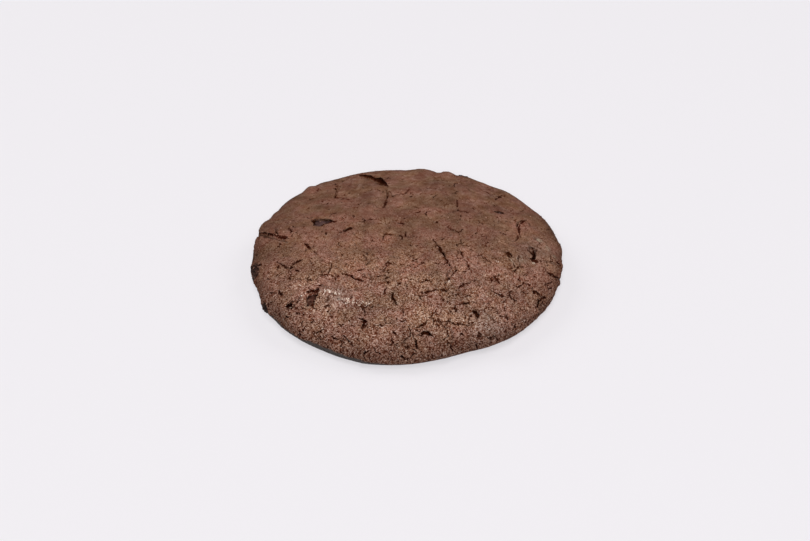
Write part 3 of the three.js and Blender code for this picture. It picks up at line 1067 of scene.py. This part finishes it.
@dataclass
class CrumbBody:
    """The baked body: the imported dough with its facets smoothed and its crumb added.

    Widths and heights are in metres. The size of a lump, a bump or a pebble is in millimetres.
    """

    voxel: float = 0.17 * MM
    most_triangles: int = 197_000
    facet_width: float = 2.8 * MM
    edge_width: float = 0.68 * MM
    kept_width: float = 0.42 * MM
    plain_height: float = 0.4 * MM
    craggy_height: float = 4.5 * MM
    lump: float = 5
    lump_height: float = 0.7 * MM
    bump: float = 2
    bump_height: float = 0.38 * MM
    pebble: float = 0.95
    pebble_height: float = 0.16 * MM
    blunt: float = 0.2 * MM
    spread: float = 0.85 * MM
    crack_width: float = 0.9 * MM
    slit_width: float = 3.6 * MM

    def build(self) -> bpy.types.Object:
        """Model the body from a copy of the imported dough.

        Returns:
            The finished mesh. It keeps each point's rest place, and how deep in a crack it lies.
        """
        piece = copy_of_mesh(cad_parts["cookie_dough"], "crumb_body")
        merge_loose_triangles(piece)
        remesh_finely(piece, self.voxel)
        self.smooth_facets(piece)
        self.add_crumb(piece)
        self.thin_out(piece)
        return piece

    def steps(self, width: float) -> int:
        """Count the averaging steps that reach over that width of the skin."""
        return round((width / self.voxel) ** 2)

    def smooth_facets(self, piece: bpy.types.Object) -> None:
        """Melt the flat facets together, but keep the cracks' edges sharp.

        Args:
            piece: the body.
        """
        graph = GeometryGraph("melt the facets")
        nearby = graph.blur(graph.place, self.steps(self.edge_width), "FLOAT_VECTOR")
        bend = graph.vector("DISTANCE", nearby, graph.place)
        sharp = graph.ramp(bend, 0.03 * MM, 0.08 * MM)
        kept = graph.ramp(graph.blur(sharp, self.steps(self.kept_width)), 0.1, 0.5)
        free = graph.minus(1.0, kept)
        graph.move(graph.blur(graph.place, self.steps(self.facet_width), "FLOAT_VECTOR", free))
        graph.apply_to(piece)

    def add_crumb(self, piece: bpy.types.Object) -> None:
        """Raise and sink the skin into lumps, fine cracks, pebbly crumb and pits.

        Args:
            piece: the body.
        """
        graph = GeometryGraph("crumb")
        place = graph.place
        upper = graph.ramp(graph.parts(place)[2], self.plain_height, self.craggy_height)
        graph.store("rest", place, "FLOAT_VECTOR")
        craggy = craggy_share(graph, place, 0.2)

        ragged = graph.warp(graph.warp(place, 1.8, 1), 0.6, 0.5)
        torn = graph.highest(craggy, *(spot.at(graph, place) for spot in TORN))
        share = graph.product(upper, torn)
        shift = graph.vector("SCALE", graph.vector("SUBTRACT", ragged, place), share)

        pebble = graph.cells(graph.warp(place, 0.7, 0.3), self.pebble).outputs["Distance"]
        relief = graph.total(
            graph.waves(place, self.lump, graph.product(craggy, self.lump_height)),
            graph.waves(place, self.bump, graph.product(craggy, self.bump_height), 3.0),
            graph.product(graph.ramp(pebble, 0.75, 0.15), craggy, self.pebble_height),
            graph.product(PATTERN.depth(graph, place, self.blunt), -1.0),
            *(swell.at(graph, place) for swell in SWELLS),
        )
        out = graph.vector("SCALE", graph.normal, graph.product(relief, upper))
        moved = graph.vector("ADD", graph.vector("ADD", place, shift), out)
        graph.move(graph.vector("ADD", moved, self.spread_foot(graph)))
        # The finish reads these hollows to paint shade into cracks and the slit.
        graph.store("hollow", self.hollow(graph, self.crack_width))
        graph.store("gorge", self.hollow(graph, self.slit_width))
        graph.apply_to(piece)

    def spread_foot(self, graph: GeometryGraph) -> Socket:
        """Let the front of the foot spread a little wider than the wall above it.

        Args:
            graph: the geometry nodes.

        Returns:
            How far each point moves, as a vector.
        """
        along, height = graph.parts(graph.place)[1:]
        share = graph.product(
            graph.ramp(along, -30 * MM, -41 * MM), graph.ramp(height, 6 * MM, 2 * MM), self.spread
        )
        outward = graph.vector("NORMALIZE", graph.vector("MULTIPLY", graph.place, LEVEL))
        return graph.vector("SCALE", outward, share)

    def hollow(self, graph: GeometryGraph, width: float) -> Socket:
        """Measure how far the skin lies below its surroundings, in millimetres.

        Args:
            graph: the geometry nodes.
            width: of the surroundings.

        Returns:
            The depth, which is below zero on crests.
        """
        steps = self.steps(width)
        nearby = graph.blur(graph.place, steps, "FLOAT_VECTOR")
        facing = graph.vector("NORMALIZE", graph.blur(graph.normal, steps, "FLOAT_VECTOR"))
        depth = graph.vector("DOT_PRODUCT", graph.vector("SUBTRACT", nearby, graph.place), facing)
        return graph.product(depth, 1 / MM)

    def thin_out(self, piece: bpy.types.Object) -> None:
        """Take out triangles where the skin is plainest, down to the most allowed.

        Args:
            piece: the body.
        """
        decimate = piece.modifiers.new("thin out", "DECIMATE")
        decimate.ratio = min(1.0, self.most_triangles / triangle_count(piece))
        apply_modifier(piece, decimate)


@dataclass
class ChocolatePiece:
    """One broken piece of chocolate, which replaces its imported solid.

    Its sizes are in metres, but a bump's is in millimetres.
    """

    node: str
    edge: float = 0.16 * MM
    voxel: float = 0.14 * MM
    bump: float = 1.3
    bump_height: float = 1.2 * MM
    sunk: float = 0.15 * MM

    def build(self) -> bpy.types.Object:
        """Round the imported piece's edges and roughen its broken faces.

        Returns:
            The finished mesh.
        """
        piece = copy_of_mesh(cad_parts[self.node], self.node.replace("chocolate_", "chunk_"))
        merge_loose_triangles(piece)
        bevel = piece.modifiers.new("soft edges", "BEVEL")
        bevel.width = self.edge
        bevel.segments = 2
        apply_modifier(piece, bevel)
        remesh_finely(piece, self.voxel)
        graph = GeometryGraph("broken faces")
        rough = graph.waves(graph.place, self.bump, self.bump_height, 3.0)
        graph.push_out(graph.minus(rough, self.sunk))
        graph.apply_to(piece)
        return piece


@dataclass
class BakedBit:
    """A small piece of nut that sticks out of the crumb. Its place and radius are in metres."""

    name: str
    across: float
    along: float
    radius: float
    sunk: float = 0.3
    shape: Place = (1.15, 0.8, 0.75)
    finish: GrainFinish = NUT_SKIN

    def build(self, body: bpy.types.Object) -> bpy.types.Object:
        """Shape the bit and set it into the body's skin.

        Args:
            body: the finished crumb body.

        Returns:
            The finished mesh, which keeps one tone for all its points.
        """
        above = Vector((self.across, self.along, ABOVE))
        skin = body.ray_cast(above, Vector(DOWN))[1]
        middle = skin + Vector(DOWN) * self.sunk * self.radius
        bpy.ops.mesh.primitive_ico_sphere_add(subdivisions=4, radius=self.radius, location=middle)
        piece = bpy.context.active_object
        piece.name = self.name
        piece.scale = self.shape
        bpy.ops.object.transform_apply(location=True, rotation=True, scale=True)
        graph = GeometryGraph(self.name)
        chipped = graph.cells(graph.place, 0.9).outputs["Distance"]
        rough = graph.waves(graph.place, 0.8, 0.5 * self.radius)
        graph.push_out(graph.total(rough, graph.product(chipped, -0.3 * self.radius)))
        graph.store("tone", graph.noise(graph.place, 0.8).outputs[0])
        graph.apply_to(piece)
        return piece


BAKED_BITS = (
    BakedBit("nut_bit_left", -30.4 * MM, -24.6 * MM, 0.75 * MM, sunk=0.1),
    BakedBit("nut_bit_right", 34.2 * MM, -9.9 * MM, 0.6 * MM),
)


@dataclass
class Sprinkle:
    """Small bits of one kind, half sunk in the skin, from one radius to another in millimetres."""

    name: str
    density: float
    smallest: float
    largest: float
    seed: int
    where: Callable[[GeometryGraph], Socket]
    finish: GrainFinish
    detail: int = 1
    flattest: Place = (0.65, 0.65, 0.45)
    fullest: Place = (1.0, 1.0, 0.8)

    def build(self, body: bpy.types.Object) -> bpy.types.Object:
        """Scatter the bits over the body.

        Args:
            body: the finished crumb body.

        Returns:
            One mesh of all the bits. Each bit keeps a tone from 0 to 1.
        """
        piece = copy_of_mesh(body, self.name)
        graph = GeometryGraph(self.name)
        density = graph.product(self.where(graph), self.density)
        points = graph.add(
            "GeometryNodeDistributePointsOnFaces",
            {"Mesh": graph.mesh, "Density": density, "Seed": self.seed},
            distribute_method="RANDOM",
        )
        ball = graph.add("GeometryNodeMeshIcoSphere", {"Radius": 1.0, "Subdivisions": self.detail})
        size = graph.random(self.smallest * MM, self.largest * MM, self.seed + 1)
        shape = graph.random(self.flattest, self.fullest, self.seed + 2)
        turn = graph.random((0.0, 0.0, 0.0), (math.tau, math.tau, math.tau), self.seed + 3)
        bits = graph.add(
            "GeometryNodeInstanceOnPoints",
            {
                "Points": points.outputs["Points"],
                "Instance": ball.outputs["Mesh"],
                "Rotation": turn,
                "Scale": graph.vector("SCALE", shape, size),
            },
        )
        graph.mesh = bits.outputs[0]
        graph.store("tone", graph.random(0.0, 1.0, self.seed + 4), domain="INSTANCE")
        graph.mesh = graph.add("GeometryNodeRealizeInstances", {"Geometry": graph.mesh}).outputs[0]
        graph.move(graph.warp(graph.place, 0.4, 1.2 * self.smallest))
        graph.apply_to(piece)
        return piece


def open_skin(low: float, high: float, graph: GeometryGraph) -> Socket:
    """Say where loose bits lie: above a height, most at the front, and none down in the cracks.

    Args:
        low: the height where the bits begin, in millimetres.
        high: the height from where they lie at their full number.
        graph: the geometry nodes of the bits.

    Returns:
        A number from 0 to 1.
    """
    above = graph.ramp(graph.parts(graph.place)[2], low * MM, high * MM)
    shallow = graph.ramp(graph.stored("gorge"), 0.3, 0.15)
    return graph.product(above, shallow, craggy_share(graph, graph.place, 0.0))


# Where pale specks lie: the middle and the reach, in millimetres, and the share
SPECKLES = tuple(
    Spot(*row)
    for row in (
        # along the edge of the front left lump
        (-22, -23.9, 11.8, 1.4, 0.5), (-20.3, -24.8, 11.9, 1.7, 0.8), (-18.4, -25.8, 11.9, 1.8, 0.9),
        (-16.8, -27, 11.6, 1.7, 0.7), (-15.2, -27.7, 11.4, 1.5, 0.8), (-13.6, -28.4, 11.2, 1.5, 1.0),
        (-11.3, -29.2, 11.3, 1.6, 0.4), (-9.2, -28.9, 11.3, 1.3, 0.3),
        # elsewhere
        (-26.9, -25.2, 9.8, 1.1, 0.4), (-27.6, -20.6, 10.8, 1.3, 0.5), (31.8, -10.2, 11, 1.4, 0.15),
        (24.6, -11.5, 12.1, 0.8, 1.0), (11, -21.1, 12.6, 0.9, 1.0), (15.4, -33.8, 9.2, 0.9, 1.0),
        (20.4, -34.4, 8.6, 2.4, 0.1),
    )
)


def speckled(graph: GeometryGraph) -> Socket:
    """Say where pale specks lie."""
    return graph.highest(*(spot.at(graph, graph.place) for spot in SPECKLES))


SPRINKLES = (
    Sprinkle("crumb_grains", 2.2e6, 0.1, 0.2, 5, partial(open_skin, 4, 7), CRUMB_GRAIN),
    Sprinkle("crumb_nubs", 0.25e6, 0.2, 0.4, 25, partial(open_skin, 7.5, 10), CRUMB_GRAIN, detail=2),
    Sprinkle("pale_specks", 4.5e6, 0.14, 0.36, 45, speckled, PALE_SPECK),
)


# The table, the light and the camera


@dataclass(frozen=True)
class Lamp:
    """One round soft lamp that points at the cookie."""

    name: str
    at: Place
    size: float
    power: float


@dataclass
class Studio:
    """A plain pale table that glows a little, soft light from above, and the photograph's camera."""

    distance: float = 429.8 * MM
    aim: Place = (-0.33 * MM, -7.53 * MM, 6 * MM)
    lens: float = 70.0
    sensor: float = 36.0
    floor_size: float = 8.0
    floor_colour: Colour = (0.410, 0.398, 0.414)
    floor_glow: Colour = (0.471, 0.459, 0.475)
    fill: float = 0.08
    lamps: tuple[Lamp, ...] = (
        Lamp("overhead_lamp", (0.0, -0.9, 2.7), 1.2, 19.1),
        Lamp("front_lamp", (-0.1, -2.9, 2.4), 1.6, 94.0),
        Lamp("left_lamp", (-1.6, 0.8, 1.5), 1.5, 14.0),
        Lamp("right_lamp", (1.6, 0.8, 1.5), 1.5, 12.0),
    )

    def build(self) -> None:
        """Lay the table and set up the light and the camera."""
        self.lay_table()
        for lamp in self.lamps:
            self.hang(lamp)
        self.fill_in()
        self.place_camera()
        bpy.context.scene.view_settings.view_transform = "Standard"

    def lay_table(self) -> None:
        """Make the pale table top."""
        bpy.ops.mesh.primitive_plane_add(size=self.floor_size, location=(0, 0, 0))
        table = bpy.context.active_object
        table.name = "pale_table"
        material = bpy.data.materials.new("pale_table")
        material.use_nodes = True
        settings = {
            "Base Color": (*self.floor_colour, 1.0),
            "Emission Color": (*self.floor_glow, 1.0),
            "Emission Strength": 1.0,
            "Roughness": 1.0,
            "Specular IOR Level": 0.0,
        }
        for name, value in settings.items():
            material.node_tree.nodes["Principled BSDF"].inputs[name].default_value = value
        table.data.materials.append(material)

    def hang(self, lamp: Lamp) -> None:
        """Hang one lamp, turned towards the cookie.

        Args:
            lamp: its place, size and power.
        """
        bpy.ops.object.light_add(type="AREA", location=lamp.at)
        light = bpy.context.active_object
        light.name = lamp.name
        light.data.shape = "DISK"
        light.data.size = lamp.size
        light.data.energy = lamp.power
        light.rotation_euler = (-Vector(lamp.at)).to_track_quat("-Z", "Y").to_euler()

    def fill_in(self) -> None:
        """Add even light from all round."""
        world = bpy.data.worlds.new("studio_fill")
        world.use_nodes = True
        background = world.node_tree.nodes["Background"]
        background.inputs["Color"].default_value = (1.0, 1.0, 1.0, 1.0)
        background.inputs["Strength"].default_value = self.fill
        bpy.context.scene.world = world

    def place_camera(self) -> None:
        """Set the camera up where the photograph was taken from."""
        aim = Vector(self.aim)
        back = Vector((0.0, -math.cos(ELEVATION), math.sin(ELEVATION)))
        camera_data = bpy.data.cameras.new("photo_camera")
        camera_data.lens = self.lens
        camera_data.sensor_width = self.sensor
        camera_data.clip_start = 0.01
        camera = bpy.data.objects.new("photo_camera", camera_data)
        camera.location = aim + back * self.distance
        camera.rotation_euler = (-back).to_track_quat("-Z", "Y").to_euler()
        bpy.context.scene.collection.objects.link(camera)
        bpy.context.scene.camera = camera


def chocolate_nodes() -> list[str]:
    """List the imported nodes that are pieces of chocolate."""
    return sorted(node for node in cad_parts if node.startswith("chocolate_"))


def main() -> None:
    """Build and dress every piece, and report each."""
    Studio().build()

    body = CrumbBody().build()
    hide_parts("cookie_dough")
    finish_piece(body, CrumbFinish().material())

    broken = BROKEN.material()
    for node in chocolate_nodes():
        chunk = ChocolatePiece(node).build()
        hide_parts(node)
        finish = CHOCOLATE_FINISHES.get(node)
        finish_piece(chunk, finish.material() if finish else broken)

    materials = {finish: finish.material() for finish in (NUT_SKIN, CRUMB_GRAIN, PALE_SPECK)}
    for bit in (*BAKED_BITS, *SPRINKLES):
        finish_piece(bit.build(body), materials[bit.finish])


if __name__ == "__main__":
    logging.basicConfig(level=logging.INFO, format="%(message)s")
    main()
